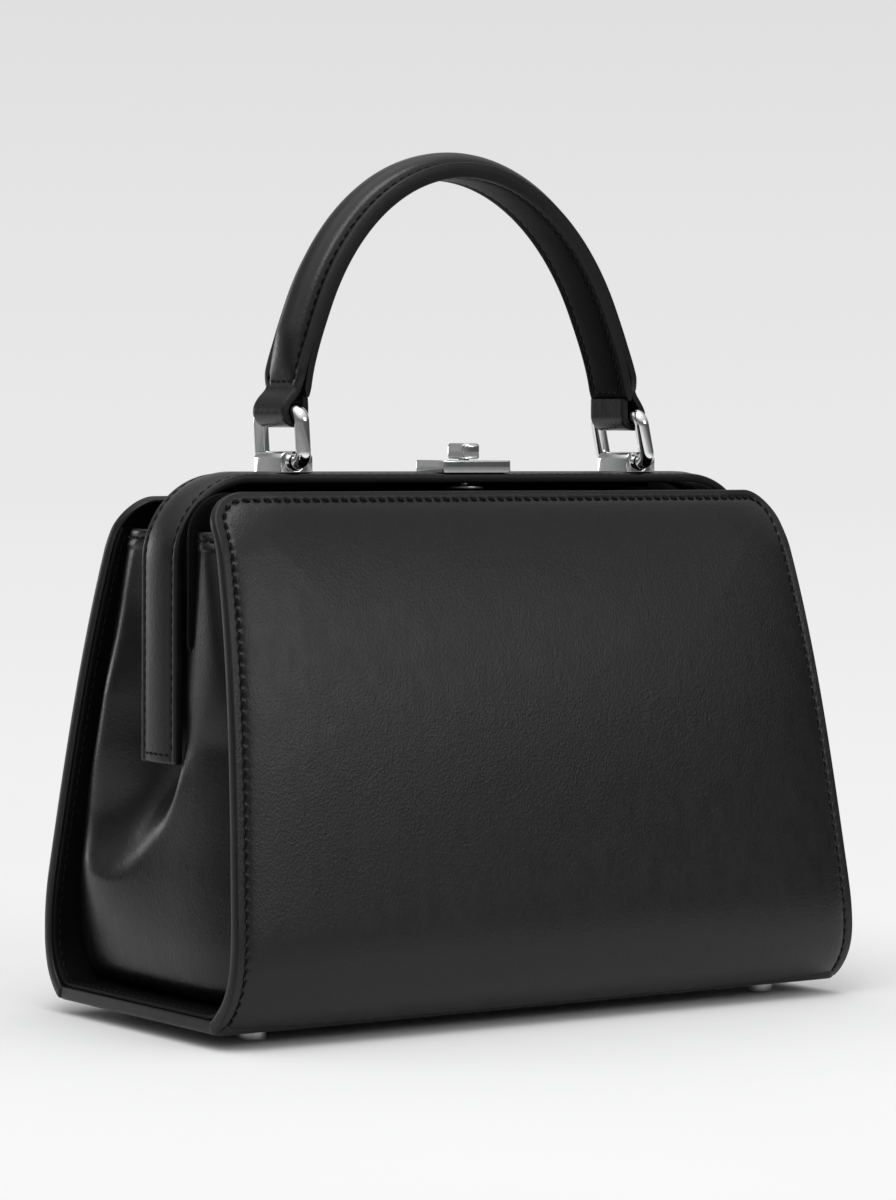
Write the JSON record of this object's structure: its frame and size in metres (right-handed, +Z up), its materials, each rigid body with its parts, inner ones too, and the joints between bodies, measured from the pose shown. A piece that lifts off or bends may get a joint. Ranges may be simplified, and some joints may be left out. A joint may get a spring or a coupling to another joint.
{
  "type": "frame handbag",
  "caption": "Structured leather frame handbag with pleated side gussets, an arched leather-covered frame, a turn-lock clasp and a padded top handle on metal rings.",
  "frame": {"origin": "middle of the bounding box on the floor that the feet stand on", "axes": "+Z up, +X to the right seen from the front, +Y from the front panel towards the back panel"},
  "size_m": [0.2494, 0.1204, 0.2822],
  "materials": {
    "leather": "smooth fine-grained black calf leather, semi-matte",
    "lining_leather": "plain black leather, matte",
    "thread": "black waxed sewing thread",
    "chrome": "polished",
    "satin_steel": "satin"
  },
  "bodies": {
    "bag": {"front_panel": "leather", "back_panel": "leather", "base": "leather", "gusset_left": "leather", "gusset_right": "leather", "inner_wall_front": "lining_leather", "inner_wall_back": "lining_leather", "frame_band": "leather", "handle_strap": "leather", "handle_lining": "leather", "clasp_plate": "chrome", "ring_base_left": "chrome", "ring_base_right": "chrome", "ring_left": "chrome", "ring_right": "chrome", "foot_front_left": "satin_steel", "foot_front_right": "satin_steel", "foot_back_left": "satin_steel", "foot_back_right": "satin_steel"},
    "knob": {"clasp_knob": "chrome"}
  },
  "joints": [
    {"name": "knob_turn", "type": "hinge", "parent": "bag", "child": "knob", "pos_m": [0, -0.0027, 0.1838], "axis": [0, 0, 1], "range_deg": [0, 90]}
  ]
}
